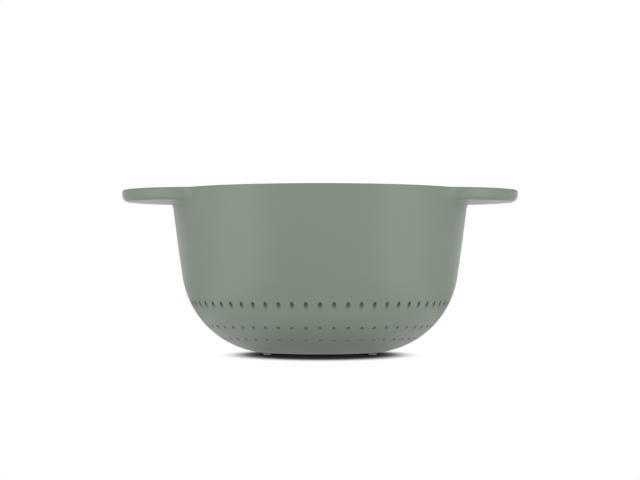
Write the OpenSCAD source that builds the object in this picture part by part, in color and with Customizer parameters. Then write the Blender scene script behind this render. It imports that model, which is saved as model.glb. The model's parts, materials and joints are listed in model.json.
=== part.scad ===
// Colander: one moulded bowl with two lug handles, on three push-in feet.
// Millimetres, +Z up. The origin is on the surface that the feet stand on, on the bowl's axis.
// The handles lie along X, and the front is towards -Y.

/* [Bowl] */
// Diameter over the rim
rim_d = 241; // [210:1:290]
// Height of the rim above the surface that the feet stand on
bowl_h = 132; // [110:1:170]
// Thickness of the wall and of the base
wall_t = 2.8; // [2.2:0.1:3.6]
// Lean of the wall from upright where it leaves the heel curve, in degrees
wall_lean = 8.5; // [6:0.5:12]
// Radius of the slight outward bow of the wall
bow_r = 2200; // [1500:50:4000]
// Radius of the heel curve that turns the wall into the base
heel_r = 72; // [60:1:80]
// Radius of the tighter toe curve that ends the heel at the flat base
toe_r = 43; // [30:1:55]
// Turn that the toe curve takes, in degrees
toe_turn = 14; // [8:1:20]
// Gap between the flat base and the surface underneath
base_gap = 1.5; // [1:0.1:4]
// Radius of the two edges of the rim
lip_r = 1.1; // [0.6:0.1:1.2]

/* [Handles] */
// Distance that each handle stands out from the rim
handle_reach = 39.8; // [30:0.2:50]
// Radius of the round end of a handle, seen from above
handle_end_r = 66; // [55:1:75]
// Thickness of a handle
handle_t = 9.5; // [9:0.1:14]
// Radius of the hollow curve from the rim into a handle, seen from above
handle_blend_r = 19; // [12:1:26]
// Radius of the upper edge of a handle
handle_top_r = 1.8; // [1:0.1:2.5]
// Radius of the lower edge of a handle
handle_low_r = 5.5; // [4:0.1:6]
// Radius of the fillet under a handle, against the wall
handle_fillet_r = 6; // [2:0.1:7]

/* [Drain holes] */
// Diameter of a drain hole, whose axis is upright, the way the mould opens
hole_d = 3.3; // [2:0.1:4]
// Distance from the rim's edge in to the outermost ring of holes
ring_inset = 16.4; // [16:0.2:26]
// Distance from that ring to the next, which is longer than the others because the wall is steep there
top_ring_pitch = 12.4; // [9:0.1:16]
// Distance from each further ring of holes to the next
ring_pitch = 11.3; // [8:0.1:14]
// Number of rings of holes in the wall, above the plain heel
wall_rings = 3; // [2:1:4]
// Radius of the outermost ring of holes in the base, inside the feet
base_ring_r = 46.5; // [36:0.5:49]
// Distance between neighbouring holes in a ring, before it is rounded to a whole number of holes
hole_spacing = 10.6; // [8:0.1:16]
// Radius round the axis that stays plain
plain_r = 10; // [8:1:30]
// Least width of plain wall between a hole and a foot's boss
boss_land = 0.6; // [0.2:0.1:2]

/* [Moulding gate] */
// Diameter of the dimple under the base, at the moulding gate
gate_d = 9; // [6:0.5:14]
// Depth of that dimple
gate_depth = 0.6; // [0.3:0.1:1]
// Diameter of the stub that the gate leaves in the dimple
gate_stub_d = 2.6; // [1.5:0.1:4]
// Length of that stub
gate_stub_h = 0.4; // [0.2:0.1:0.6]

/* [Feet] */
// Diameter of a foot
foot_d = 7; // [5.5:0.1:9]
// Diameter of the flat that a foot stands on
foot_flat_d = 4; // [3:0.1:5]
// Radius of the circle that the feet stand on
foot_circle_r = 48.4; // [40:0.2:56]
// Diameter of the spigot that holds a foot in its socket
spigot_d = 4; // [3:0.1:4.6]
// Length of that spigot
spigot_h = 2.4; // [1.5:0.1:4]
// Chamfer on the end of the spigot
spigot_lead = 0.4; // [0.2:0.1:0.6]
// Clearance round a foot and round its spigot
foot_fit = 0.1; // [0.05:0.05:0.3]
// Thickness of the boss round and above the spigot's socket
boss_t = 1.2; // [0.8:0.1:1.8]
// Radius of the boss's upper edge
boss_round_r = 0.7; // [0.3:0.1:0.8]

/* [Hidden] */

body_colour = [0.506, 0.553, 0.498];
foot_colour = [0.455, 0.497, 0.448];

// Facets round the bowl, round a small edge and round a hole; the bow is a short arc of a huge circle
bowl_facets = 180;
edge_facets = 48;
hole_facets = 24;
bow_facets = 2880;

// Overrun of every cut past the face that it leaves by
over = 1;
// Depth that the handles' blend starts inside the wall, so that it comes out of it cleanly
blend_sink = 0.3;
// Depth that the fillet under a handle runs into the wall and into the handle
fillet_sink = 0.2;
// Depth that a foot's seat is sunk past the highest point of the base over it
seat_sink = 0.2;
// Gap past the end of a spigot
spigot_gap = 0.2;
// Direction of the back foot, and the turn from each foot to the next, in degrees
back_turn = 90;
foot_turn = 120;
// The holes of a ring are a whole number of these sets, so that a hole at the front has one at the back
ring_set = 2;
// Largest part of the wall that each edge of the rim may take
lip_share = 0.45;
// Reach of a sector's corners past its arc
sector_share = 2;

// The wall and base follow four pieces that meet without a kink: flat, toe, heel and bow.
// Each place below is first worked out from the edge of the flat, whose radius then follows.
heel_end = 90 - wall_lean;
toe_z = base_gap + toe_r;
heel_dx = (toe_r - heel_r) * sin(toe_turn);
heel_z = toe_z - (toe_r - heel_r) * cos(toe_turn);
bow_dx = heel_dx + (heel_r - bow_r) * sin(heel_end);
bow_z = heel_z - (heel_r - bow_r) * cos(heel_end);
rim_r = rim_d / 2;
flat_r = rim_r - bow_dx - sqrt(bow_r * bow_r - (bowl_h - bow_z) * (bowl_h - bow_z));
toe_c = [flat_r, toe_z];
heel_c = [flat_r + heel_dx, heel_z];
bow_c = [flat_r + bow_dx, bow_z];

// Point on an arc of radius r round c, turned by turn from straight down
function arc_point(c, r, turn) = c + r * [sin(turn), -cos(turn)];

// Radius of the bowed wall, t inside its outer face, at height z
function wall_x(z, t) = bow_c[0] + sqrt((bow_r - t) * (bow_r - t) - (z - bow_z) * (z - bow_z));

// Lean of the bowed wall from upright, t inside its outer face, at height z
function wall_lean_at(z, t) = asin((bow_z - z) / (bow_r - t));

// Height of the lower side of an arc of radius r round c, at radius x
function arc_z(c, r, x) = c[1] - sqrt(r * r - (x - c[0]) * (x - c[0]));

// Height of the base and wall, t inside their outer face, at radius x
function base_z(x, t) =
    x <= flat_r ? base_gap + t
    : x <= arc_point(toe_c, toe_r - t, toe_turn)[0] ? arc_z(toe_c, toe_r - t, x)
    : x <= arc_point(heel_c, heel_r - t, heel_end)[0] ? arc_z(heel_c, heel_r - t, x)
    : arc_z(bow_c, bow_r - t, x);

// Edges of the rim
lip = min(lip_r, wall_t * lip_share);
lip_z = bowl_h - lip;

// Handles, and the hollow curves that lead into them
under_z = bowl_h - handle_t;
handle_c = [rim_r + handle_reach - handle_end_r, 0];
blend_rim_r = wall_x(under_z + handle_low_r, 0) - blend_sink;
blend_from_axis = blend_rim_r + handle_blend_r;
blend_from_handle = handle_end_r + handle_blend_r;
blend_x = (blend_from_axis * blend_from_axis - blend_from_handle * blend_from_handle
    + handle_c[0] * handle_c[0]) / (2 * handle_c[0]);
blend_c = [blend_x, sqrt(blend_from_axis * blend_from_axis - blend_x * blend_x)];

// Feet, and the sockets and bosses that hold them
foot_r = foot_d / 2;
spigot_r = spigot_d / 2;
seat_z = base_z(foot_circle_r + foot_r + foot_fit, 0) + seat_sink;
socket_top_z = seat_z + spigot_h + spigot_gap;
boss_r = foot_r + foot_fit + boss_t;
boss_top_z = socket_top_z + boss_t;
foot_turns = [back_turn, back_turn + foot_turn, back_turn - foot_turn];
foot_places = [for (a = foot_turns) foot_circle_r * [cos(a), sin(a)]];

// Rings of drain holes from the outside in, each with a hole at the front: the wall's, then the base's
hole_r = hole_d / 2;
top_ring_r = rim_r - ring_inset;
second_ring_r = top_ring_r - top_ring_pitch;
ring_radii = concat(
    top_ring_r,
    [for (i = [0 : wall_rings - 2]) second_ring_r - i * ring_pitch],
    [for (r = [base_ring_r : -ring_pitch : plain_r]) r]
);
function ring_count(r) = ring_set * round(2 * PI * r / hole_spacing / ring_set);
function clear_of_feet(p) = min([for (f = foot_places) norm(p - f)]) >= hole_r + boss_r + boss_land;

// Slice of a disc of radius r round c, between two turns from straight down
module sector(c, r, turn_a, turn_b) {
    intersection() {
        translate(c)
            circle(r = r, $fn = bowl_facets);
        polygon([c, arc_point(c, r * sector_share, turn_a), arc_point(c, r * sector_share, turn_b)]);
    }
}

// Half section of all that lies t inside the outer face, up to height top
module section(t, top) {
    toe_end = arc_point(toe_c, toe_r - t, toe_turn);
    wall_start = arc_point(heel_c, heel_r - t, heel_end);
    polygon([
        [0, base_gap + t], [flat_r, base_gap + t], toe_end, wall_start,
        [wall_x(top, t), top], [0, top]
    ]);
    sector(toe_c, toe_r - t, 0, toe_turn);
    sector(heel_c, heel_r - t, toe_turn, heel_end);
    intersection() {
        translate(bow_c)
            circle(r = bow_r - t, $fn = bow_facets);
        translate([heel_c[0], wall_start[1]])
            square([rim_d, top - wall_start[1]]);
    }
}

// Half section of the bowl's outside, with the outer edge of the rim rounded
module outer_section() {
    lip_x = wall_x(lip_z, lip);
    section(0, lip_z - lip * sin(wall_lean_at(lip_z, lip)));
    translate([0, lip_z - lip])
        square([lip_x, 2 * lip]);
    translate([lip_x, lip_z])
        circle(r = lip, $fn = edge_facets);
}

// Half section of the bowl's hollow, which flares over the inner edge of the rim
module hollow_section() {
    lip_x = wall_x(lip_z, wall_t - lip);
    flare_z = lip_z + lip * sin(wall_lean_at(lip_z, wall_t - lip));
    section(wall_t, flare_z);
    difference() {
        translate([0, flare_z])
            square([lip_x, bowl_h + over - flare_z]);
        translate([lip_x, lip_z])
            circle(r = lip, $fn = edge_facets);
    }
}

// Half section of a round lug of radius r and thickness t, with its two edges rounded
module lug_section(r, t, low_r, top_r) {
    polygon([
        [0, 0], [r - low_r, 0], [r - low_r, low_r], [r, low_r], [r, t - top_r],
        [r - top_r, t - top_r], [r - top_r, t], [0, t]
    ]);
    intersection() {
        translate([r - low_r, low_r])
            circle(r = low_r, $fn = edge_facets);
        square([r, low_r]);
    }
    translate([r - top_r, t - top_r])
        circle(r = top_r, $fn = edge_facets);
}

// Half section of the round cutter that leaves the hollow curve beside a handle with the same edges
module blend_cutter_section() {
    translate([0, -over])
        square([handle_blend_r, handle_t + 2 * over]);
    difference() {
        translate([0, -over])
            square([handle_blend_r + handle_low_r, handle_low_r + over]);
        translate([handle_blend_r + handle_low_r, handle_low_r])
            circle(r = handle_low_r, $fn = edge_facets);
    }
    difference() {
        translate([0, handle_t - handle_top_r])
            square([handle_blend_r + handle_top_r, handle_top_r + over]);
        translate([handle_blend_r + handle_top_r, handle_t - handle_top_r])
            circle(r = handle_top_r, $fn = edge_facets);
    }
}

// Half section of the fillet between the wall and the underside of a handle
module fillet_section() {
    r = handle_fillet_r;
    stand = r - fillet_sink;
    z = under_z - stand;
    x = wall_x(z, -stand);
    lean = wall_lean_at(z, -stand);
    inside_x = x - r - wall_t / 2;
    touch = [x - r * cos(lean), z + r * sin(lean)];
    difference() {
        polygon([
            [inside_x, touch[1]], touch, [x, z], [x, under_z + over], [inside_x, under_z + over]
        ]);
        translate([x, z])
            circle(r = r, $fn = edge_facets);
    }
}

// Web that fills the corner between the rim and a handle, up to the hollow curve
module blend_web() {
    difference() {
        translate([0, 0, under_z])
            linear_extrude(handle_t)
                polygon([[0, 0], handle_c, blend_c]);
        translate([blend_c[0], blend_c[1], under_z])
            rotate_extrude($fn = bowl_facets)
                blend_cutter_section();
    }
}

// One handle: a round lug, a web on each side, and the fillet under it
module handle() {
    translate([handle_c[0], 0, under_z])
        rotate_extrude($fn = bowl_facets)
            lug_section(handle_end_r, handle_t, handle_low_r, handle_top_r);
    blend_web();
    mirror([0, 1, 0])
        blend_web();
    intersection() {
        rotate_extrude($fn = bowl_facets)
            fillet_section();
        translate([handle_c[0], 0, under_z - handle_fillet_r])
            rotate_extrude($fn = bowl_facets)
                lug_section(handle_end_r, handle_t + handle_fillet_r,
                    handle_low_r + handle_fillet_r, handle_top_r);
    }
}

// Round boss, closed on top, that stands up from the base over a foot's socket
module boss() {
    rotate_extrude($fn = edge_facets) {
        square([boss_r, boss_top_z - boss_round_r]);
        square([boss_r - boss_round_r, boss_top_z]);
        translate([boss_r - boss_round_r, boss_top_z - boss_round_r])
            circle(r = boss_round_r, $fn = edge_facets);
    }
}

// Seat and socket that take a foot from below
module foot_socket() {
    translate([0, 0, -over])
        cylinder(r = foot_r + foot_fit, h = seat_z + over, $fn = edge_facets);
    cylinder(r = spigot_r + foot_fit, h = socket_top_z, $fn = edge_facets);
}

// Everything inside the wall but the bosses on the base
module hollow() {
    difference() {
        rotate_extrude($fn = bowl_facets)
            hollow_section();
        for (p = foot_places)
            translate(p)
                boss();
    }
}

// All drain holes, ring by ring
module drain_holes() {
    for (r = ring_radii) {
        low_z = base_z(r - hole_r, 0) - over;
        high_z = base_z(r + hole_r, wall_t) + over;
        for (i = [0 : ring_count(r) - 1]) {
            a = 360 / ring_count(r) * i - 90;
            p = r * [cos(a), sin(a)];
            if (clear_of_feet(p))
                translate([p[0], p[1], low_z])
                    cylinder(r = hole_r, h = high_z - low_z, $fn = hole_facets);
        }
    }
}

// Dimple in the underside with the stub of the moulding gate in it
module gate_dimple() {
    difference() {
        translate([0, 0, base_gap - over])
            cylinder(d = gate_d, h = gate_depth + over, $fn = edge_facets);
        translate([0, 0, base_gap + gate_depth - gate_stub_h])
            cylinder(d = gate_stub_d, h = gate_stub_h + over, $fn = edge_facets);
    }
}

module bowl() {
    color(body_colour)
        difference() {
            union() {
                rotate_extrude($fn = bowl_facets)
                    outer_section();
                handle();
                mirror([1, 0, 0])
                    handle();
            }
            hollow();
            drain_holes();
            gate_dimple();
            for (p = foot_places)
                translate(p)
                    foot_socket();
        }
}

// Foot: a round button with a domed edge, and the spigot that goes up into its socket
module foot(i) {
    edge_r = foot_r - foot_flat_d / 2;
    color(foot_colour)
        translate(foot_places[i])
            rotate_extrude($fn = edge_facets) {
                square([foot_r - edge_r, seat_z]);
                translate([0, edge_r])
                    square([foot_r, seat_z - edge_r]);
                intersection() {
                    translate([foot_r - edge_r, edge_r])
                        circle(r = edge_r, $fn = edge_facets);
                    square([foot_r, foot_r]);
                }
                polygon([
                    [0, seat_z - edge_r], [spigot_r, seat_z - edge_r],
                    [spigot_r, seat_z + spigot_h - spigot_lead],
                    [spigot_r - spigot_lead, seat_z + spigot_h], [0, seat_z + spigot_h]
                ]);
            }
}

bowl();
foot(0);  // foot_back
foot(1);  // foot_front_left
foot(2);  // foot_front_right
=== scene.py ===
"""A deep colander with two lug handles on three push-in feet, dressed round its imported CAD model.

Sizes of the mouldings are in millimetres. Meshes, finishes and the studio are in metres.
+Z is up, X runs through both handles, and the front is towards -Y.
"""

from __future__ import annotations

import json
import logging
from dataclasses import dataclass, field
from enum import Enum
from math import asin, atan2, cos, dist, floor, hypot, pi, radians, sin, sqrt
from typing import Any, Callable, Sequence

import bpy
import numpy as np
from bpy.types import ID, Material, Mesh, Node, NodeSocket, NodeTree, Object, World
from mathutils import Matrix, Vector

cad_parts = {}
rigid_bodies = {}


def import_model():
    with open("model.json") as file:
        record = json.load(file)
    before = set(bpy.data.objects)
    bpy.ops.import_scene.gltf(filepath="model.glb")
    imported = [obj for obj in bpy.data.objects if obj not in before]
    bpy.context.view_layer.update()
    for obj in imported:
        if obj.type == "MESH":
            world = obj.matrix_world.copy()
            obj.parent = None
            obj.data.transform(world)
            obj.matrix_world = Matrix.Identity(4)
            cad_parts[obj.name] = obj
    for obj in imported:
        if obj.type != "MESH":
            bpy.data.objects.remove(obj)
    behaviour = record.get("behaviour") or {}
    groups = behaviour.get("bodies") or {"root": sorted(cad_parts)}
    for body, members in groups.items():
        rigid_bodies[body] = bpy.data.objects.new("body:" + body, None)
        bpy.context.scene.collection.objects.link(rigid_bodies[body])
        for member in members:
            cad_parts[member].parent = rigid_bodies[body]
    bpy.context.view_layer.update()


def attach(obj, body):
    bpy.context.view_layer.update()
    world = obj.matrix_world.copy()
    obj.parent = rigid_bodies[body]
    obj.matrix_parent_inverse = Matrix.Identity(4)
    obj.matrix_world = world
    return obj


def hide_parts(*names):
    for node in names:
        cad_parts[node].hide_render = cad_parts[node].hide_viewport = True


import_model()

MM = 0.001
WELD = 1e-6
# Places of a Mix node's sockets for colour.
MIX_A, MIX_B, MIX_RESULT = 6, 7, 2
FLOAT = "NodeSocketFloat"
TURNED_SIDES = 40
LOG = logging.getLogger("colander")
Point = tuple[float, float]
Corner = tuple[Any, Any]
Pair = tuple[float, float]
Triple = tuple[float, float, float]


class Part(str, Enum):
    """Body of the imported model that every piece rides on."""

    ROOT = "root"


class Slot(str, Enum):
    """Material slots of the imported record."""

    BODY = "body"
    FOOT = "foot"


class Foot(Enum):
    """The three feet, each with its direction in degrees round the bowl's axis."""

    BACK = 90.0
    FRONT_LEFT = 210.0
    FRONT_RIGHT = 330.0

    @property
    def node(self) -> str:
        """Name of this foot's CAD node."""
        return f"foot_{self.name.lower()}"


def operator(operation: str, swapped: bool = False) -> Callable[[Field, Any], Field]:
    """Method of Field that adds a Math node, with the other value first where swapped."""
    return lambda own, other: own.graph.math(operation, *((other, own) if swapped else (own, other)))


@dataclass(frozen=True)
class Field:
    """An output socket of a node tree. Arithmetic on it adds Math nodes."""

    graph: Graph
    socket: NodeSocket

    __add__ = __radd__ = operator("ADD")
    __sub__, __rsub__ = operator("SUBTRACT"), operator("SUBTRACT", swapped=True)
    __mul__ = __rmul__ = operator("MULTIPLY")
    __truediv__, __rtruediv__ = operator("DIVIDE"), operator("DIVIDE", swapped=True)


@dataclass
class Graph:
    """A node tree in the making, with short ways to add, link and lay out nodes."""

    tree: NodeTree
    grid: Pair = (210.0, 190.0)
    rows: int = 7

    def node(self, kind: str, inputs: dict[Any, Any] | None = None, **settings: Any) -> Node:
        """Adds a node.

        Args:
            kind: Blender's name for the node type.
            inputs: Values or fields by input name or index.
            settings: The node's own properties.

        Returns:
            The new node.
        """
        place = len(self.tree.nodes)
        made = self.tree.nodes.new(kind)
        made.location = (place // self.rows * self.grid[0], -(place % self.rows) * self.grid[1])
        for name, value in settings.items():
            setattr(made, name, value)
        for key, value in (inputs or {}).items():
            self.feed(made.inputs[key], value)
        return made

    def feed(self, socket: NodeSocket, value: Any) -> None:
        """Gives an input its value, by a link where the value is a field.

        Args:
            socket: The input socket.
            value: A field, an output socket or a plain value.
        """
        if isinstance(value, Field):
            value = value.socket
        if isinstance(value, NodeSocket):
            self.tree.links.new(value, socket)
        else:
            socket.default_value = value

    def out(self, node: Node, key: Any = 0) -> Field:
        """One output of a node, as a field."""
        return Field(self, node.outputs[key])

    def made(self, kind: str, inputs: dict[Any, Any] | None = None, key: Any = 0, **settings: Any) -> Field:
        """One output of a new node, as a field."""
        return self.out(self.node(kind, inputs, **settings), key)

    def place(self) -> Field:
        """Object coordinates."""
        return self.made("ShaderNodeTexCoord", key="Object")

    def math(self, operation: str, *values: Any) -> Field:
        """Result of a Math node."""
        return self.made("ShaderNodeMath", dict(enumerate(values)), operation=operation)

    def clamp_range(self, value: Any, low: float, high: float) -> Field:
        """Turns the range of a field from low to high into zero to one, eased in and out."""
        limits = dict(enumerate((value, low, high, 0.0, 1.0)))
        return self.made("ShaderNodeMapRange", limits, interpolation_type="SMOOTHSTEP")

    def noise(self, place: Field, scale: Any, detail: float, roughness: float = 0.5) -> Field:
        """Factor of a Noise texture."""
        inputs = {"Vector": place, "Scale": scale, "Detail": detail, "Roughness": roughness}
        return self.made("ShaderNodeTexNoise", inputs)

    def distance(self, x: Field, y: Field) -> Field:
        """Length of two parts of a vector."""
        return self.math("SQRT", x * x + y * y)

    def around(self, radius: Any, turn: Any, height: Any = 0.0) -> Field:
        """Vector at a radius, a direction and a height."""
        return self.vector(radius * self.math("COSINE", turn), radius * self.math("SINE", turn), height)

    def vector(self, x: Any, y: Any, z: Any) -> Field:
        """Three fields or numbers as one vector."""
        return self.made("ShaderNodeCombineXYZ", {0: x, 1: y, 2: z})

    def parts(self, vector: Any) -> tuple[Field, Field, Field]:
        """The three parts of a vector."""
        made = self.node("ShaderNodeSeparateXYZ", {0: vector})
        return self.out(made), self.out(made, 1), self.out(made, 2)


class Group(Graph):
    """A node group with named inputs and outputs."""

    def __init__(self, name: str, kind: str) -> None:
        """Makes an empty group.

        Args:
            name: The group's name.
            kind: Blender's name for the tree type.
        """
        super().__init__(bpy.data.node_groups.new(name, kind))
        self.entry = self.node("NodeGroupInput")
        self.exit = self.node("NodeGroupOutput")
        self.ids: dict[str, str] = {}

    def takes(self, name: str, kind: str, default: Any = None) -> Field:
        """Adds a named input.

        Args:
            name: The input's name.
            kind: Blender's name for the socket type.
            default: Its default value, where it has one.

        Returns:
            The input as a field.
        """
        item = self.tree.interface.new_socket(name=name, in_out="INPUT", socket_type=kind)
        if default is not None:
            item.default_value = default
        self.ids[name] = item.identifier
        return Field(self, self.entry.outputs[name])

    def numbers(self, *names: str) -> list[Field]:
        """Adds named inputs that are plain numbers."""
        return [self.takes(name, FLOAT) for name in names]

    def gives(self, name: str, kind: str, value: Any) -> None:
        """Adds a named output, and links a field to it."""
        self.tree.interface.new_socket(name=name, in_out="OUTPUT", socket_type=kind)
        self.feed(self.exit.inputs[name], value)


class ShapeTree(Group):
    """A Geometry Nodes tree whose lengths come in by name, in metres."""

    def __init__(self, name: str) -> None:
        """Makes an empty tree with a name."""
        super().__init__(name, "GeometryNodeTree")
        self.tree.is_modifier = True

    def finish(self, geometry: Any, crease: float) -> None:
        """Ends the tree: plain mesh, smooth faces with sharp creases, and the piece's material.

        Args:
            geometry: The geometry made so far.
            crease: Angle past which an edge is sharp, in radians.
        """
        material = self.takes("Finish", "NodeSocketMaterial")
        plain = self.made("GeometryNodeRealizeInstances", {"Geometry": geometry})
        smooth = self.made("GeometryNodeSetShadeSmooth", {"Geometry": plain})
        angle = self.made("GeometryNodeInputMeshEdgeAngle", key="Unsigned Angle")
        sharp = self.math("GREATER_THAN", angle, crease)
        edges = {"Geometry": smooth, "Selection": sharp, "Shade Smooth": False}
        creased = self.made("GeometryNodeSetShadeSmooth", edges, domain="EDGE")
        dressed = self.made("GeometryNodeSetMaterial", {"Geometry": creased, "Material": material})
        self.gives("Geometry", "NodeSocketGeometry", dressed)

    def solved(self, operation: str, first: Field, *others: Field) -> Field:
        """A solid joined with others, or cut by them.

        Args:
            operation: UNION or DIFFERENCE.
            first: The solid.
            others: The others.

        Returns:
            The result.
        """
        made = self.node("GeometryNodeMeshBoolean", operation=operation, solver="MANIFOLD")
        self.feed(made.inputs[0 if operation == "DIFFERENCE" else 1], first)
        for other in others:
            self.feed(made.inputs[1], other)
        return self.out(made)

    def turned(self, profile: Sequence[Corner]) -> Field:
        """A closed solid turned round the Z axis.

        Args:
            profile: Radius and height of each corner, from the middle of the underside outwards and up.

        Returns:
            The solid.
        """
        rows = len(profile)
        sheet = self.made("GeometryNodeMeshGrid", {"Vertices X": TURNED_SIDES + 1, "Vertices Y": rows})
        across, along, _ = self.parts(self.made("GeometryNodeInputPosition"))
        turn = (across + 0.5) * (2.0 * pi)
        row = self.made("FunctionNodeFloatToInt", {0: (along + 0.5) * float(rows - 1)})
        pick = self.node("GeometryNodeIndexSwitch", {"Index": row}, data_type="VECTOR")
        while len(pick.index_switch_items) < rows:
            pick.index_switch_items.new()
        for k, (radius, height) in enumerate(profile):
            self.feed(pick.inputs[k + 1], self.vector(radius, 0.0, height))
        radius, _, height = self.parts(self.out(pick))
        place = self.around(radius, turn, height)
        shaped = self.made("GeometryNodeSetPosition", {"Geometry": sheet, "Position": place})
        return self.made("GeometryNodeMergeByDistance", {"Geometry": shaped, "Distance": WELD})


def quarter(centre: Corner, radius: Any, first: float, last: float, steps: int) -> list[Corner]:
    """Corners of a round edge, as fields.

    Args:
        centre: Radius and height of the edge's centre.
        radius: Radius of the edge.
        first: Direction of its first corner in degrees, from outwards and turning up.
        last: Direction of its last corner.
        steps: Faces along it.

    Returns:
        Radius and height of each corner.
    """
    turns = [radians(first + (last - first) * k / steps) for k in range(steps + 1)]
    return [(centre[0] + radius * cos(a), centre[1] + radius * sin(a)) for a in turns]


def dress_piece(piece: Object, node: str) -> None:
    """Puts a finished piece on its body in place of its CAD node.

    Args:
        piece: The finished piece.
        node: The CAD node that it stands for.
    """
    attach(piece, Part.ROOT.value)
    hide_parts(node)
    LOG.info("%s: %d faces, stands for %s", piece.name, len(piece.data.polygons), node)


def new_object(name: str, data: ID) -> Object:
    """Adds an object at the origin.

    Args:
        name: The object's name.
        data: Its mesh, lamp or lens.

    Returns:
        The object.
    """
    made = bpy.data.objects.new(name, data)
    bpy.context.scene.collection.objects.link(made)
    return made


def run_tree(piece: Object, tree: ShapeTree, lengths: dict[str, float], others: dict[str, Any]) -> None:
    """Runs a Geometry Nodes tree on a piece and turns the result into its plain mesh.

    Args:
        piece: The object that the tree works on.
        tree: The tree.
        lengths: Named lengths in millimetres.
        others: Values of the other named inputs.
    """
    modifier = piece.modifiers.new(tree.tree.name, "NODES")
    modifier.node_group = tree.tree
    for name, value in ({name: length * MM for name, length in lengths.items()} | others).items():
        modifier[tree.ids[name]] = value
    graph = bpy.context.evaluated_depsgraph_get()
    mesh = bpy.data.meshes.new_from_object(piece.evaluated_get(graph), depsgraph=graph)
    mesh.name = piece.name
    piece.modifiers.clear()
    piece.data = mesh


def empty_graph(owner: Material | World) -> Graph:
    """Clears the node tree of a material or a world, to start on it."""
    owner.use_nodes = True
    owner.node_tree.nodes.clear()
    return Graph(owner.node_tree)


@dataclass(frozen=True)
class MouldSkin:
    """Fine skin that a moulded piece takes from its mould: two grains, and broad faint clouds."""

    fine_share: float = 0.6
    fine_detail: float = 2.0
    fine_roughness: float = 0.6
    coarse_share: float = 0.4
    coarse_scale: float = 0.12
    cloud_scale: float = 14.0
    cloud_detail: float = 3.0
    cloud_roughness: float = 0.55
    cloud_edges: Pair = (0.3, 0.7)
    fine_tone: float = 0.6

    def group(self) -> NodeTree:
        """Makes the node group that every finish shares.

        Returns:
            The group, with a height for bump, a tone and a roughness.
        """
        group = Group("mould_skin", "ShaderNodeTree")
        grain, tone_swing, rough, rough_swing = group.numbers(
            "Grain Size", "Tone Swing", "Roughness", "Roughness Swing"
        )
        place = group.place()
        fine = group.noise(place, 1.0 / grain, self.fine_detail, self.fine_roughness)
        coarse = group.noise(place, self.coarse_scale / grain, self.fine_detail)
        cloud = group.noise(place, self.cloud_scale, self.cloud_detail, self.cloud_roughness)
        sway = group.clamp_range(cloud, *self.cloud_edges) - 0.5
        outputs = {
            "Height": fine * self.fine_share + coarse * self.coarse_share,
            "Tone": 1.0 + (sway + (fine - 0.5) * self.fine_tone) * tone_swing,
            "Roughness": rough + (sway + coarse - 0.5) * rough_swing,
        }
        for name, value in outputs.items():
            group.gives(name, FLOAT, value)
        return group.tree


@dataclass(frozen=True)
class LightScuffs:
    """Hair-thin scuffs that washing and stacking leave, in patches and in three directions."""

    directions: tuple[tuple[float, Triple], ...] = (
        (0.5, (1.0, 14.0, 14.0)),
        (2.1, (12.0, 1.0, 12.0)),
        (1.2, (13.0, 13.0, 1.0)),
    )
    tilt: float = 0.7
    twist: float = 1.3
    streak_edges: Pair = (0.70, 0.78)
    patch_scale: float = 22.0
    patch_edges: Pair = (0.45, 0.65)
    detail: float = 1.0
    length: float = 0.03

    def group(self) -> NodeTree:
        """Makes the node group that every finish shares.

        Returns:
            The group, with a mask that is one in a scuff.
        """
        group = Group("light_scuffs", "ShaderNodeTree")
        size = group.takes("Scuff Length", FLOAT, self.length)
        amount = group.takes("Amount", FLOAT)
        place = group.place()
        total: Any = 0.0
        for turn, stretch in self.directions:
            rotation = (turn, turn * self.tilt, turn * self.twist)
            laid = group.made("ShaderNodeMapping", {"Vector": place, "Rotation": rotation, "Scale": stretch})
            streak = group.noise(laid, 1.0 / size, self.detail)
            total = group.clamp_range(streak, *self.streak_edges) + total
        worn = group.clamp_range(group.noise(place, self.patch_scale, self.detail), *self.patch_edges)
        group.gives("Mask", FLOAT, group.math("MINIMUM", total, 1.0) * worn * amount)
        return group.tree


@dataclass(frozen=True)
class PaintedBoreShade:
    """Painted light and shade on the drain holes' walls: painted lighter in the low rings, and painted shade
    far inside the steep outer ring.
    """

    painted_lift: float = 1.25
    painted_lift_edges: Pair = (0.012, 0.032)
    painted_depth_shade: float = 0.70
    painted_depth_shade_edges: Pair = (0.0370, 0.0425)
    top: float = 0.056
    upright: Pair = (0.03, 0.09)

    def tone(self, graph: Graph) -> Field:
        """Factor of painted light and shade for the colour, which is one away from the holes.

        Args:
            graph: The material's tree.

        Returns:
            The factor.
        """
        height = graph.parts(graph.place())[2]
        rise = graph.parts(graph.made("ShaderNodeNewGeometry", key="True Normal"))[2]
        upright = 1.0 - graph.clamp_range(graph.math("ABSOLUTE", rise), *self.upright)
        inside = upright * graph.math("LESS_THAN", height, self.top)
        # Painted light low down in the bores, and painted shade high up inside the steep outer ring's bores.
        painted_lift = (1.0 - graph.clamp_range(height, *self.painted_lift_edges)) * (self.painted_lift - 1.0)
        painted_depth_shade = graph.clamp_range(height, *self.painted_depth_shade_edges) * (1.0 - self.painted_depth_shade)
        return inside * (painted_lift - painted_depth_shade) + 1.0


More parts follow.
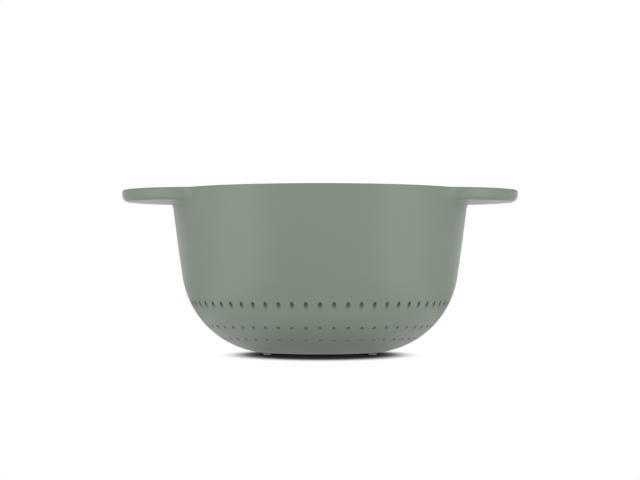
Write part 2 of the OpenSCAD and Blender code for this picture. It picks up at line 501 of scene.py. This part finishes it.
@dataclass(frozen=True)
class MouldedPlastic:
    """Satin or matt finish in a linear colour, polished by hands past some distance from the axis."""

    name: str
    colour: Triple
    roughness: float
    grain: float
    bump: float
    scuffs: float
    scuff_lift: float
    ior: float
    tone_swing: float = 0.03
    roughness_swing: float = 0.05
    scuff_roughness: float = 0.08
    bump_depth: float = 0.2
    polish_edges: Pair = (1.0, 2.0)
    polish: float = 0.0
    # Painted light and shade in the drain holes' bores, where given.
    painted_bore_shade: PaintedBoreShade | None = None

    def build(self, skin: NodeTree, scuffing: NodeTree) -> Material:
        """Makes the material.

        Args:
            skin: The mould skin group.
            scuffing: The scuff group.

        Returns:
            The material.
        """
        made = bpy.data.materials.new(self.name)
        made.diffuse_color = (*self.colour, 1.0)
        graph = empty_graph(made)
        skin_values = {
            "Grain Size": self.grain, "Tone Swing": self.tone_swing,
            "Roughness": self.roughness, "Roughness Swing": self.roughness_swing,
        }
        texture = graph.node("ShaderNodeGroup", skin_values, node_tree=skin)
        mask = graph.made("ShaderNodeGroup", {"Amount": self.scuffs}, "Mask", node_tree=scuffing)
        x, y, _ = graph.parts(graph.place())
        rubbed = graph.clamp_range(graph.distance(x, y), *self.polish_edges)
        tone = graph.out(texture, "Tone") + mask * self.scuff_lift
        # Painted light and shade in the bores, multiplied into the tone.
        if self.painted_bore_shade:
            tone = tone * self.painted_bore_shade.tone(graph)
        toned = {"Factor": 1.0, MIX_A: (*self.colour, 1.0), MIX_B: graph.vector(tone, tone, tone)}
        colour = graph.made("ShaderNodeMix", toned, MIX_RESULT, data_type="RGBA", blend_type="MULTIPLY")
        rough = graph.out(texture, "Roughness") + mask * self.scuff_roughness - rubbed * self.polish
        depth, height = self.grain * self.bump_depth, graph.out(texture, "Height")
        bump = graph.made("ShaderNodeBump", {"Strength": self.bump, "Distance": depth, "Height": height})
        looks = {"Base Color": colour, "Roughness": rough, "IOR": self.ior, "Normal": bump}
        surface = graph.made("ShaderNodeBsdfPrincipled", looks)
        graph.node("ShaderNodeOutputMaterial", {"Surface": surface})
        return made


@dataclass
class BowlSection:
    """The bowl's half section: flat, toe, heel and bow, which meet without a kink."""

    rim_r: float = 120.5
    height: float = 132.0
    wall: float = 2.8
    lean: float = 8.5
    bow_r: float = 2200.0
    heel_r: float = 72.0
    toe_r: float = 43.0
    toe_turn: float = 14.0
    base_gap: float = 1.5
    lip: float = 1.1
    flat_steps: int = 11
    toe_steps: int = 4
    heel_steps: int = 32
    heel_end: float = field(init=False)
    flat_r: float = field(init=False)
    toe_c: Point = field(init=False)
    heel_c: Point = field(init=False)
    bow_c: Point = field(init=False)

    def __post_init__(self) -> None:
        """Works out the flat's radius and the three centres from the rim."""
        self.heel_end = 90.0 - self.lean
        toe_z = self.base_gap + self.toe_r
        heel = self.on_arc((0.0, toe_z), self.toe_r - self.heel_r, self.toe_turn)
        bow = self.on_arc(heel, self.heel_r - self.bow_r, self.heel_end)
        self.flat_r = self.rim_r - bow[0] - sqrt(self.bow_r**2 - (self.height - bow[1]) ** 2)
        self.toe_c = (self.flat_r, toe_z)
        self.heel_c = (self.flat_r + heel[0], heel[1])
        self.bow_c = (self.flat_r + bow[0], bow[1])

    def wall_x(self, z: float, inset: float = 0.0) -> float:
        """Radius of the bowed wall at a height, some way inside its outer face."""
        return self.bow_c[0] + sqrt((self.bow_r - inset) ** 2 - (z - self.bow_c[1]) ** 2)

    def lean_at(self, z: float, inset: float = 0.0) -> float:
        """Lean of the bowed wall from upright at a height, in radians."""
        return asin((self.bow_c[1] - z) / (self.bow_r - inset))

    @staticmethod
    def on_arc(centre: Point, radius: float, turn: float) -> Point:
        """Point of an arc, turned by some degrees from straight down."""
        a = radians(turn)
        return centre[0] + radius * sin(a), centre[1] - radius * cos(a)

    def lower_run(self, inset: float, inner: float) -> list[Point]:
        """Section from the base out to the end of the heel.

        Args:
            inset: Distance inside the outer face.
            inner: Radius at which the run starts.

        Returns:
            The points from the axis outwards.
        """
        z = self.base_gap + inset
        run = spread((inner, z), (self.flat_r, z), self.flat_steps)
        run += [
            self.on_arc(self.toe_c, self.toe_r - inset, self.toe_turn * k / self.toe_steps)
            for k in range(self.toe_steps)
        ]
        sweep = self.heel_end - self.toe_turn
        run += [
            self.on_arc(self.heel_c, self.heel_r - inset, self.toe_turn + sweep * k / self.heel_steps)
            for k in range(self.heel_steps + 1)
        ]
        return run


@dataclass
class LugHandle:
    """Outline and edges of a lug handle that runs into the rim by a hollow curve."""

    reach: float = 39.8
    end_r: float = 66.0
    thick: float = 9.5
    blend_r: float = 19.0
    top_r: float = 1.8
    low_r: float = 5.5
    fillet_r: float = 6.0
    sink: float = 0.3
    under: float = field(init=False)
    centre: float = field(init=False)
    blend_c: Point = field(init=False)
    blend_turn: float = field(init=False)
    towards: Point = field(init=False)

    def place(self, bowl: BowlSection) -> None:
        """Finds the underside, and the centres of the lug and of the hollow curve.

        Args:
            bowl: The bowl that the handle is on.
        """
        self.under = bowl.height - self.thick
        self.centre = bowl.rim_r + self.reach - self.end_r
        rim = bowl.wall_x(self.under + self.low_r) - self.sink
        a, b = rim + self.blend_r, self.end_r + self.blend_r
        x = (a * a - b * b + self.centre**2) / (2.0 * self.centre)
        self.blend_c = (x, sqrt(a * a - x * x))
        self.blend_turn = atan2(self.blend_c[1], self.blend_c[0])
        dx, dy = self.blend_c[0] - self.centre, self.blend_c[1]
        span = hypot(dx, dy)
        self.towards = (dx / span, dy / span)

    def outline(self, turn: float, inset: float) -> float:
        """Distance from the axis to the handle's edge.

        Args:
            turn: Direction from the X axis in radians, from zero to a right angle.
            inset: Distance inside the outline.

        Returns:
            The distance, or zero where there is no handle.
        """
        if turn >= self.blend_turn:
            return 0.0
        c, s = cos(turn), sin(turn)
        r = self.end_r - inset
        meet = (self.centre + r * self.towards[0], r * self.towards[1])
        if turn <= atan2(meet[1], meet[0]):
            return self.centre * c + sqrt(r * r - (self.centre * s) ** 2)
        bx, by = self.blend_c
        across = bx * s - by * c
        return bx * c + by * s - sqrt(max((self.blend_r + inset) ** 2 - across * across, 0.0))


def eased(value: float, low: float, high: float) -> float:
    """Smooth step from zero at low to one at high."""
    t = min(max((value - low) / (high - low), 0.0), 1.0)
    return t * t * (3.0 - 2.0 * t)


def between(first: Point, last: Point, part: float, whole: float = 1.0) -> Point:
    """Point some part of the whole way from first to last."""
    return tuple(a + (b - a) * part / whole for a, b in zip(first, last))


def spread(first: Point, last: Point, steps: int) -> list[Point]:
    """Points from first to just before last, evenly spaced."""
    return [between(first, last, k, steps) for k in range(steps)]


@dataclass
class MouldingGate:
    """Dimple under the middle of the base, with the stub that the gate leaves in it."""

    radius: float = 4.5
    depth: float = 0.6
    stub_r: float = 1.3
    stub_h: float = 0.4

    def run(self, base_z: float) -> list[Point]:
        """Section from the axis to the dimple's edge, on a base at some height."""
        roof = base_z + self.depth
        return [
            (0.0, roof - self.stub_h), (self.stub_r, roof - self.stub_h), (self.stub_r, roof),
            (self.radius, roof), (self.radius, base_z),
        ]


@dataclass
class DrainHoles:
    """Rings of upright drain holes, in the wall and in the base, with the heel between them plain."""

    diameter: float = 3.3
    sides: int = 24
    inset: float = 16.4
    first_pitch: float = 12.4
    pitch: float = 11.3
    spacing: float = 10.6
    wall_rings: int = 3
    base_r: float = 46.5
    plain_r: float = 10.0
    boss_land: float = 0.6
    low: float = -2.0
    high: float = 62.0

    def rings(self) -> int:
        """Number of rings, from the wall's outermost in to the plain middle of the base."""
        return self.wall_rings + 1 + floor((self.base_r - self.plain_r) / self.pitch)


@dataclass
class FootSeat:
    """Seat, socket and boss that hold a foot in the base."""

    circle_r: float = 48.4
    foot_r: float = 3.5
    spigot_r: float = 2.0
    spigot_h: float = 2.4
    fit: float = 0.1
    sink: float = 0.2
    gap: float = 0.2
    boss_t: float = 1.2
    boss_edge: float = 0.7
    boss_steps: int = 5
    seat_z: float = field(init=False)
    socket_z: float = field(init=False)

    def place(self, bowl: BowlSection) -> None:
        """Finds where the seats are and how high they go.

        Args:
            bowl: The bowl that the feet are in.
        """
        edge = self.circle_r + self.foot_r + self.fit - bowl.flat_r
        self.seat_z = bowl.base_gap + bowl.toe_r - sqrt(bowl.toe_r**2 - edge * edge) + self.sink
        self.socket_z = self.seat_z + self.spigot_h + self.gap


@dataclass
class Bowl:
    """The one moulding: bowl, rim and both handles, with its holes, bosses and gate mark."""

    section: BowlSection = field(default_factory=BowlSection)
    handle: LugHandle = field(default_factory=LugHandle)
    holes: DrainHoles = field(default_factory=DrainHoles)
    seat: FootSeat = field(default_factory=FootSeat)
    gate: MouldingGate = field(default_factory=MouldingGate)
    rim_blend: float = 0.4
    edge_ease: float = 6.0
    crease: float = 32.0
    gate_land: float = 2.0
    fans: tuple[tuple[float, float, int], ...] = ((0.0, 27.0, 24), (27.0, 39.0, 22), (39.0, 90.0, 36))
    trace_steps: int = 240
    trace_start: float = 3.0
    fillet_steps: int = 8
    under_steps: int = 10
    edge_steps: int = 10
    edge_share: float = 0.25
    wall_steps: int = 22
    brow_steps: int = 2
    rim_steps: int = 7
    top_steps: int = 8
    inner_steps: int = 24

    def __post_init__(self) -> None:
        """Sets the handle and the foot seats on the bowl."""
        self.handle.place(self.section)
        self.seat.place(self.section)

    def columns(self) -> list[float]:
        """Directions of the mesh's columns round the axis, in degrees, closest beside the handles.

        Returns:
            The directions from 0 up to just under 360.
        """
        side: list[float] = []
        for first, last, steps in self.fans:
            side += [first + (last - first) * k / steps for k in range(steps)]
        half = side + [180.0 - a for a in [90.0] + side[:0:-1]]
        return half + [180.0 + a for a in half]

    def rim_x(self, z: float) -> float:
        """Radius of the bare wall and of the rim's outer edge at a height.

        Args:
            z: The height.

        Returns:
            The radius.
        """
        bowl = self.section
        lip_z = bowl.height - bowl.lip
        if z <= lip_z - bowl.lip * sin(bowl.lean_at(lip_z, bowl.lip)):
            return bowl.wall_x(z)
        return bowl.wall_x(lip_z, bowl.lip) + sqrt(max(bowl.lip**2 - (z - lip_z) ** 2, 0.0))

    def joined_x(self, z: float, edge: float) -> float:
        """Radius of wall and handle together at a height, softly blended.

        Args:
            z: The height.
            edge: Radius of the handle alone, or zero.

        Returns:
            The radius.
        """
        wall = self.rim_x(z)
        soft = max(self.rim_blend - abs(wall - edge), 0.0)
        return max(wall, edge) + soft * soft / (4.0 * self.rim_blend)

    def under_run(self, turn: float) -> list[Point]:
        """Section from the wall's fillet, along the handle's underside and round its lower edge.

        The fillet's centre is where a fine trace of both, set off by its radius, is as far from the wall.

        Args:
            turn: Direction of the section from the X axis in radians.

        Returns:
            The points, which all fall on one where there is no handle.
        """
        bowl, lug = self.section, self.handle
        rows = self.fillet_steps + self.under_steps + self.edge_steps + 1
        brow = lug.under + lug.low_r
        if lug.outline(turn, 0.0) <= bowl.wall_x(brow) + WELD:
            return [(bowl.wall_x(brow), brow)] * rows
        lean = bowl.lean_at(lug.under)
        normal = (cos(lean), -sin(lean))
        foot = (bowl.wall_x(lug.under), lug.under)
        start = lug.outline(turn, lug.low_r)
        inside = min(start, foot[0]) - self.trace_start * lug.fillet_r
        trace = self.trace_steps
        path = [(p, (0.0, -1.0)) for p in spread((inside, lug.under), (start, lug.under), trace)]
        for k in range(trace + 1):
            a = radians(90.0 * k / trace)
            x = lug.outline(turn, lug.low_r * (1.0 - sin(a)))
            path.append(((x, lug.under + lug.low_r * (1.0 - cos(a))), (sin(a), -cos(a))))
        r = lug.fillet_r
        gaps = [
            (x + r * nx - foot[0]) * normal[0] + (z + r * nz - foot[1]) * normal[1] - r
            for (x, z), (nx, nz) in path
        ]
        last_in = max(k for k, g in enumerate(gaps) if g < 0.0)
        t = gaps[last_in] / (gaps[last_in] - gaps[last_in + 1])
        (pa, na), (pb, nb) = path[last_in], path[last_in + 1]
        touch, facing = between(pa, pb, t), between(na, nb, t)
        size = hypot(*facing)
        facing = (facing[0] / size, facing[1] / size)
        centre = (touch[0] + r * facing[0], touch[1] + r * facing[1])
        from_a = atan2(-normal[1], -normal[0])
        sweep = (atan2(-facing[1], -facing[0]) - from_a + pi) % (2.0 * pi) - pi
        turns = [from_a + sweep * k / self.fillet_steps for k in range(self.fillet_steps)]
        run = [(centre[0] + r * cos(a), centre[1] + r * sin(a)) for a in turns]
        rest = [touch] + [p for p, _ in path[last_in + 1:]]
        along = np.concatenate(([0.0], np.cumsum([dist(a, b) for a, b in zip(rest, rest[1:])])))
        flat = max(start - touch[0], 0.0) if last_in < trace else 0.0
        anchor = max(flat, self.edge_share * (along[-1] - flat))
        marks = np.concatenate((
            np.linspace(0.0, anchor, self.under_steps, endpoint=False),
            np.linspace(anchor, along[-1], self.edge_steps + 1),
        ))
        xs, zs = (np.interp(marks, along, axis).tolist() for axis in zip(*rest))
        return run + list(zip(xs, zs))

    def outer_run(self, turn: float) -> list[Point]:
        """Section from the middle of the underside out and up to the top of the rim or handle.

        Args:
            turn: Direction of the section from the X axis in radians.

        Returns:
            The points.
        """
        bowl, lug = self.section, self.handle
        run = self.gate.run(bowl.base_gap) + bowl.lower_run(0.0, self.gate.radius + self.gate_land)
        under = self.under_run(turn)
        heights = np.linspace(run[-1][1], under[0][1], self.wall_steps + 1)[1:-1]
        run += [(bowl.wall_x(z), z) for z in heights] + under
        brow, edge = lug.under + lug.low_r, lug.outline(turn, 0.0)
        past = edge - bowl.wall_x(bowl.height)
        top_r = bowl.lip + (lug.top_r - bowl.lip) * eased(past, 0.0, self.edge_ease)
        side_top = bowl.height - top_r
        for k in range(1, self.brow_steps + 1):
            z = brow + (side_top - brow) * k / self.brow_steps
            run.append((self.joined_x(z, edge), z))
        for k in range(1, self.rim_steps + 1):
            a = radians(90.0 * k / self.rim_steps)
            z = side_top + top_r * sin(a)
            run.append((self.joined_x(z, lug.outline(turn, top_r * (1.0 - cos(a)))), z))
        return run

    def inner_run(self) -> list[Point]:
        """Section from the top of the rim over its inner edge and down to the middle of the inside.

        Returns:
            The points.
        """
        bowl = self.section
        lip_z = bowl.height - bowl.lip
        middle = bowl.wall_x(lip_z, bowl.wall - bowl.lip)
        lean = bowl.lean_at(lip_z, bowl.wall - bowl.lip)
        run = [
            (middle - bowl.lip * sin(a), lip_z + bowl.lip * cos(a))
            for a in ((pi / 2 - lean) * k / self.rim_steps for k in range(self.rim_steps + 1))
        ]
        lower = bowl.lower_run(bowl.wall, 0.0)
        heights = np.linspace(run[-1][1], lower[-1][1], self.inner_steps + 1)[1:-1]
        return run + [(bowl.wall_x(z, bowl.wall), z) for z in heights] + lower[::-1]

    def shell(self) -> Mesh:
        """The closed shell without its holes.

        Returns:
            Its mesh, in metres.
        """
        inner = self.inner_run()
        known: dict[float, list[Point]] = {}
        corners = []
        for degrees in self.columns():
            folded = round(min(degrees % 180.0, 180.0 - degrees % 180.0), 9)
            if folded not in known:
                outer = self.outer_run(radians(folded))
                known[folded] = outer + spread(outer[-1], inner[0], self.top_steps)[1:] + inner
            a = radians(degrees)
            corners.append([(r * cos(a), r * sin(a), z) for r, z in known[folded]])
        grid = np.array(corners) * MM
        count, rows = grid.shape[:2]
        index = np.arange(count * rows).reshape(count, rows)
        beside = np.roll(index, -1, axis=0)
        faces = np.stack([index[:, :-1], beside[:, :-1], beside[:, 1:], index[:, 1:]], axis=-1).reshape(-1, 4)
        mesh = bpy.data.meshes.new("bowl_shell")
        mesh.from_pydata(grid.reshape(-1, 3).tolist(), [], faces.tolist())
        return mesh

    def lengths(self) -> dict[str, float]:
        """Lengths of the holes, sockets and bosses by name, in the order that the tree takes them."""
        holes, seat = self.holes, self.seat
        return {
            "Hole Diameter": holes.diameter, "Cut From": holes.low, "Cut To": holes.high,
            "Outer Ring": self.section.rim_r - holes.inset, "First Pitch": holes.first_pitch,
            "Pitch": holes.pitch, "Base Ring": holes.base_r, "Spacing": holes.spacing,
            "Foot Circle": seat.circle_r, "Seat Radius": seat.foot_r + seat.fit,
            "Seat Height": seat.seat_z, "Socket Radius": seat.spigot_r + seat.fit,
            "Socket Height": seat.socket_z, "Boss Radius": seat.foot_r + seat.fit + seat.boss_t,
            "Boss Height": seat.socket_z + seat.boss_t, "Boss Edge": seat.boss_edge,
            "Boss From": seat.seat_z + 2.0 * seat.sink, "Boss Land": holes.boss_land,
        }

    def drain_tree(self) -> ShapeTree:
        """Welds the shell, adds the bosses, and cuts the sockets and every ring of holes.

        Returns:
            The tree.
        """
        tree = ShapeTree("drain_rings")
        shell = tree.takes("Shell", "NodeSocketGeometry")
        (
            hole_d, low, high, outer_r, first_pitch, pitch, base_r, spacing,
            foot_r, seat_r, seat_z, socket_r, socket_z, boss_r, boss_z, boss_edge, boss_from, boss_land,
        ) = tree.numbers(*self.lengths())
        rings, wall_rings, sides = (
            tree.takes(name, "NodeSocketInt") for name in ("Rings", "Wall Rings", "Hole Sides")
        )

        index = tree.made("GeometryNodeInputIndex")
        angle = index * (2.0 * pi / len(Foot)) + radians(Foot.BACK.value)
        stands = tree.made("GeometryNodePoints", {"Count": len(Foot), "Position": tree.around(foot_r, angle)})

        def at_feet(solid: Field) -> Field:
            """Copies of a solid at the feet."""
            placed = tree.made("GeometryNodeInstanceOnPoints", {"Points": stands, "Instance": solid})
            return tree.made("GeometryNodeRealizeInstances", {"Geometry": placed})

        boss = tree.turned(
            [(0.0, boss_from), (boss_r, boss_from)]
            + quarter((boss_r - boss_edge, boss_z - boss_edge), boss_edge, 0.0, 90.0, self.seat.boss_steps)
            + [(0.0, boss_z)]
        )
        socket = tree.turned([
            (0.0, low), (seat_r, low), (seat_r, seat_z),
            (socket_r, seat_z), (socket_r, socket_z), (0.0, socket_z),
        ])
        welded = tree.made("GeometryNodeMergeByDistance", {"Geometry": shell, "Distance": WELD})
        bossed = tree.solved("UNION", welded, at_feet(boss))

        start = tree.node("GeometryNodeRepeatInput", {"Iterations": rings})
        end = tree.node("GeometryNodeRepeatOutput")
        start.pair_with_output(end)
        ring = tree.out(start, "Iteration")
        in_wall = outer_r - tree.math("MINIMUM", ring, 1.0) * first_pitch
        in_wall = in_wall - tree.math("MAXIMUM", ring - 1.0, 0.0) * pitch
        lower = tree.math("GREATER_THAN", ring, wall_rings - 0.5)
        radius = in_wall * (1.0 - lower) + (base_r - (ring - wall_rings) * pitch) * lower
        pairs = tree.math("ROUND", radius * pi / spacing)
        count = tree.made("FunctionNodeFloatToInt", {0: pairs * 2.0})
        turn = index * (2.0 * pi) / count - pi / 2
        points = tree.made("GeometryNodePoints", {"Count": count, "Position": tree.around(radius, turn)})
        x, y, _ = tree.parts(tree.made("GeometryNodeInputPosition"))
        gap: Any = 1.0
        for foot in Foot:
            turned = radians(foot.value)
            beside = tree.distance(x - foot_r * cos(turned), y - foot_r * sin(turned))
            gap = tree.math("MINIMUM", beside, gap)
        hole_r = hole_d * 0.5
        in_boss = tree.math("LESS_THAN", gap, hole_r + boss_r + boss_land)
        kept = tree.made("GeometryNodeDeleteGeometry", {"Geometry": points, "Selection": in_boss})
        rod = {"Vertices": sides, "Radius": hole_r, "Depth": high - low}
        drill = tree.made("GeometryNodeMeshCylinder", rod)
        middle = tree.vector(0.0, 0.0, (high + low) * 0.5)
        lifted = tree.made("GeometryNodeTransform", {"Geometry": drill, "Translation": middle})
        drilled = tree.made("GeometryNodeInstanceOnPoints", {"Points": kept, "Instance": lifted})
        joined = tree.node("GeometryNodeJoinGeometry", {0: tree.out(start, "Geometry")})
        tree.feed(joined.inputs[0], drilled)
        tree.feed(end.inputs["Geometry"], tree.out(joined))
        cutters = tree.made("GeometryNodeRealizeInstances", {"Geometry": tree.out(end, "Geometry")})
        bored = tree.solved("DIFFERENCE", bossed, cutters, at_feet(socket))
        tree.finish(bored, radians(self.crease))
        return tree

    def build(self, finish: Material) -> None:
        """Makes the piece and puts it on its body.

        Args:
            finish: The body's material.
        """
        holes = self.holes
        counts = {"Rings": holes.rings(), "Wall Rings": holes.wall_rings, "Hole Sides": holes.sides}
        piece = new_object("bowl_moulding", self.shell())
        run_tree(piece, self.drain_tree(), self.lengths(), {**counts, "Finish": finish})
        dress_piece(piece, "bowl")


@dataclass
class PushInFoot:
    """Round soft button with a domed edge, and the spigot that holds it in its socket."""

    seat: FootSeat
    flat_r: float = 2.0
    lead: float = 0.4
    edge_steps: int = 9
    crease: float = 35.0

    def lengths(self) -> dict[str, float]:
        """Lengths by name, in the order that the tree takes them."""
        seat = self.seat
        return {
            "Foot Radius": seat.foot_r, "Flat Radius": self.flat_r, "Seat Height": seat.seat_z,
            "Spigot Radius": seat.spigot_r, "Spigot Height": seat.spigot_h, "Spigot Lead": self.lead,
            "Foot Circle": seat.circle_r,
        }

    def tree(self) -> ShapeTree:
        """Turns one foot and sets it in its place.

        Returns:
            The tree.
        """
        tree = ShapeTree("push_in_foot")
        foot_r, flat_r, seat_z, spigot_r, spigot_h, lead, circle_r = tree.numbers(*self.lengths())
        turn = tree.takes("Direction", FLOAT)
        edge, tip = foot_r - flat_r, seat_z + spigot_h
        button = quarter((flat_r, edge), edge, -90.0, 0.0, self.edge_steps) + [(foot_r, seat_z)]
        spigot = [(spigot_r, seat_z), (spigot_r, tip - lead), (spigot_r - lead, tip), (0.0, tip)]
        solid = tree.turned([(0.0, 0.0)] + button + spigot)
        place = tree.around(circle_r, turn)
        placed = tree.made("GeometryNodeTransform", {"Geometry": solid, "Translation": place})
        tree.finish(placed, radians(self.crease))
        return tree

    def build(self, foot: Foot, tree: ShapeTree, finish: Material) -> None:
        """Makes one foot and puts it on its body.

        Args:
            foot: Which of the feet it is.
            tree: The foot's tree.
            finish: The feet's material.
        """
        name = f"button_{foot.node}"
        piece = new_object(name, bpy.data.meshes.new(name))
        run_tree(piece, tree, self.lengths(), {"Direction": radians(foot.value), "Finish": finish})
        dress_piece(piece, foot.node)


@dataclass
class Studio:
    """White floor and surroundings, a painted shadow and painted glow on the floor, two soft lights and the
    photograph's camera, in metres.
    """

    distance: float = 1.390
    eye: float = 0.0653
    pitch: float = 1.099
    lens: float = 96.3
    sensor: float = 36.0
    ambient: float = 1.06
    overhead: float = 0.55
    overhead_edges: Pair = (0.35, 0.95)
    floor_half: float = 4.0
    floor_tone: float = 0.9
    gloss_levels: Triple = (0.0, 1.0, 0.30)
    back_gloss: float = 0.92
    sweep_edges: Pair = (0.02, 0.22)
    gloss_edges: tuple[Pair, ...] = ((32.0, 50.0), (70.0, 92.0), (130.0, 156.0))
    # Painted reflection and painted bounce light: levels at which the floor glows for gloss and for other
    # rays. Close to the object the gloss level is fixed and dimmed by the painted shadow, and the bounce
    # level drops to bounce_near as painted shade.
    close_gloss: float = 0.74
    painted_shadow_gloss: float = 0.5
    close_edges: Pair = (0.12, 0.20)
    bounce: float = 0.96
    bounce_near: float = 0.46
    bounce_edges: Pair = (0.06, 0.25)
    # Painted shadow on the floor: an ellipse set ahead of the axis, with its half sizes, its edges and how
    # far it darkens the floor's colour; the floor turns white past clear_edges.
    painted_shadow_ahead: float = 0.0225
    painted_shadow_half: Pair = (0.0600, 0.0842)
    painted_shadow_edges: Pair = (0.74, 1.20)
    painted_shadow_depth: float = 0.92
    clear_edges: Pair = (0.93, 1.36)
    box_place: Triple = (1.20, -0.84, 0.35)
    box_aim: Triple = (0.0, 0.0, 0.07)
    box_size: Pair = (0.45, 1.1)
    box_power: float = 1.6

    def panorama(self, graph: Graph, x: Field, y: Field, sweep: Any = 1.0) -> Field:
        """Level that gloss mirrors in each direction, the same for the room and for its floor.

        Args:
            graph: The tree.
            x: Part of the direction towards +X.
            y: Part of the direction away from the camera.
            sweep: Share of the white sweep behind the object.

        Returns:
            The level.
        """
        back = y / graph.math("MAXIMUM", graph.distance(x, y), WELD)
        levels = (*self.gloss_levels, sweep * self.back_gloss)
        total: Any = levels[0]
        for before, after, (start, end) in zip(levels, levels[1:], self.gloss_edges):
            edges = (-cos(radians(start)), -cos(radians(end)))
            total = graph.clamp_range(back, *edges) * (after - before) + total
        return total

    def world(self) -> None:
        """White where it is seen directly, a white wall behind in gloss, and a plain level for the rest."""
        world = bpy.data.worlds.new("studio_air")
        bpy.context.scene.world = world
        graph = empty_graph(world)
        path = graph.node("ShaderNodeLightPath")
        seen = graph.math("MAXIMUM", graph.out(path, "Is Camera Ray"), graph.out(path, "Is Transmission Ray"))
        gloss = graph.out(path, "Is Glossy Ray") * (1.0 - seen)
        x, y, z = graph.parts(graph.made("ShaderNodeTexCoord", key="Generated"))
        sweep = 1.0 - graph.clamp_range(z, *self.sweep_edges)
        mirrored = gloss * self.panorama(graph, x, y, sweep)
        top = graph.clamp_range(z, *self.overhead_edges)
        soft = (1.0 - top * (1.0 - self.overhead)) * self.ambient
        level = seen + mirrored + (1.0 - seen - gloss) * soft
        air = graph.made("ShaderNodeBackground", {"Color": (1.0, 1.0, 1.0, 1.0), "Strength": level})
        graph.node("ShaderNodeOutputWorld", {"Surface": air})

    def floor(self) -> None:
        """Floor that shows the real shadow close to the object darkened further by a painted shadow set ahead
        of it, is white past it, glows at painted levels for reflections and bounce, and is clear from below.
        """
        half = self.floor_half
        corners = [(-half, -half, 0.0), (half, -half, 0.0), (half, half, 0.0), (-half, half, 0.0)]
        mesh = bpy.data.meshes.new("studio_floor")
        mesh.from_pydata(corners, [], [(0, 1, 2, 3)])
        paint = bpy.data.materials.new("studio_floor")
        graph = empty_graph(paint)
        path = graph.node("ShaderNodeLightPath")
        camera = graph.out(path, "Is Camera Ray")
        through = graph.out(path, "Is Transmission Ray")
        mirrored = graph.math("MAXIMUM", graph.out(path, "Is Glossy Ray"), through)
        x, y, _ = graph.parts(graph.place())
        away = graph.distance(x, y)
        # Distance within the painted shadow's ellipse, set ahead of the axis; one at its edge.
        out = graph.distance(x / self.painted_shadow_half[0], (y + self.painted_shadow_ahead) / self.painted_shadow_half[1])
        white = graph.math("MAXIMUM", graph.clamp_range(out, *self.clear_edges), 1.0 - camera)
        # Painted shadow: the floor's colour darkens inside the ellipse, on top of the real shadow that the
        # matt floor takes.
        painted_shadow_factor = 1.0 - (1.0 - graph.clamp_range(out, *self.painted_shadow_edges)) * self.painted_shadow_depth
        tone = painted_shadow_factor * self.floor_tone
        matt = graph.made("ShaderNodeBsdfDiffuse", {"Color": graph.vector(tone, tone, tone)})
        # For rays other than camera rays the floor glows as painted bounce light, lower close to the object
        # as painted shade, and as a painted reflection at the panorama's level, fixed close to the object and
        # dimmed by the painted shadow.
        far = graph.clamp_range(away, *self.bounce_edges)
        bounce = far * (self.bounce - self.bounce_near) + self.bounce_near
        close = 1.0 - graph.clamp_range(away, *self.close_edges)
        gloss = close * self.close_gloss + (1.0 - close) * self.panorama(graph, x, y)
        unseen = mirrored * gloss * (1.0 - (1.0 - painted_shadow_factor) * self.painted_shadow_gloss) + (1.0 - mirrored) * bounce
        glow = graph.made("ShaderNodeEmission", {"Strength": camera + (1.0 - camera) * unseen})
        above = graph.made("ShaderNodeMixShader", {0: white, 1: matt, 2: glow})
        below = graph.made("ShaderNodeNewGeometry", key="Backfacing")
        clear = graph.made("ShaderNodeBsdfTransparent")
        both = graph.made("ShaderNodeMixShader", {0: below, 1: above, 2: clear})
        graph.node("ShaderNodeOutputMaterial", {"Surface": both})
        mesh.materials.append(paint)
        new_object("studio_floor", mesh)

    def soft_boxes(self) -> None:
        """Two soft lights in front, one to each side, that face the object."""
        across, ahead, up = self.box_place
        for name, side in (("left_box", -across), ("right_box", across)):
            lamp = bpy.data.lights.new(name, "AREA")
            lamp.shape = "RECTANGLE"
            lamp.size, lamp.size_y = self.box_size
            lamp.energy = self.box_power
            made = new_object(name, lamp)
            made.location = (side, ahead, up)
            made.rotation_euler = (Vector(self.box_aim) - made.location).to_track_quat("-Z", "Y").to_euler()

    def camera(self) -> None:
        """The camera where the photograph was taken from."""
        lens = bpy.data.cameras.new("photo_camera")
        lens.lens = self.lens
        lens.sensor_width = self.sensor
        made = new_object("photo_camera", lens)
        made.location = (0.0, -self.distance, self.eye)
        made.rotation_euler = (radians(90.0 + self.pitch), 0.0, 0.0)
        bpy.context.scene.camera = made

    def build(self) -> None:
        """Adds everything round the object."""
        bpy.context.scene.view_settings.view_transform = "Standard"
        self.world()
        self.floor()
        self.soft_boxes()
        self.camera()


def main() -> None:
    """Builds the studio, the finishes and every piece."""
    logging.basicConfig(level=logging.INFO, format="%(name)s: %(message)s")
    Studio().build()
    skin, scuffing = MouldSkin().group(), LightScuffs().group()
    # The satin finish carries the painted light and shade in the drain holes' bores.
    satin = MouldedPlastic(
        name="sage_satin_plastic", colour=(0.229, 0.279, 0.222), roughness=0.36, grain=0.0005, bump=0.12,
        scuffs=0.3, scuff_lift=0.05, ior=1.49, polish_edges=(0.128, 0.150), polish=0.05, painted_bore_shade=PaintedBoreShade(),
    ).build(skin, scuffing)
    soft = MouldedPlastic(
        name="sage_soft_foot", colour=(0.222, 0.270, 0.215), roughness=0.7, grain=0.0004, bump=0.3,
        scuffs=0.8, scuff_lift=0.08, ior=1.46, roughness_swing=0.08,
    ).build(skin, scuffing)
    bowl = Bowl()
    bowl.build(satin)
    button = PushInFoot(bowl.seat)
    button_tree = button.tree()
    for foot in Foot:
        button.build(foot, button_tree, soft)


if __name__ == "__main__":
    main()
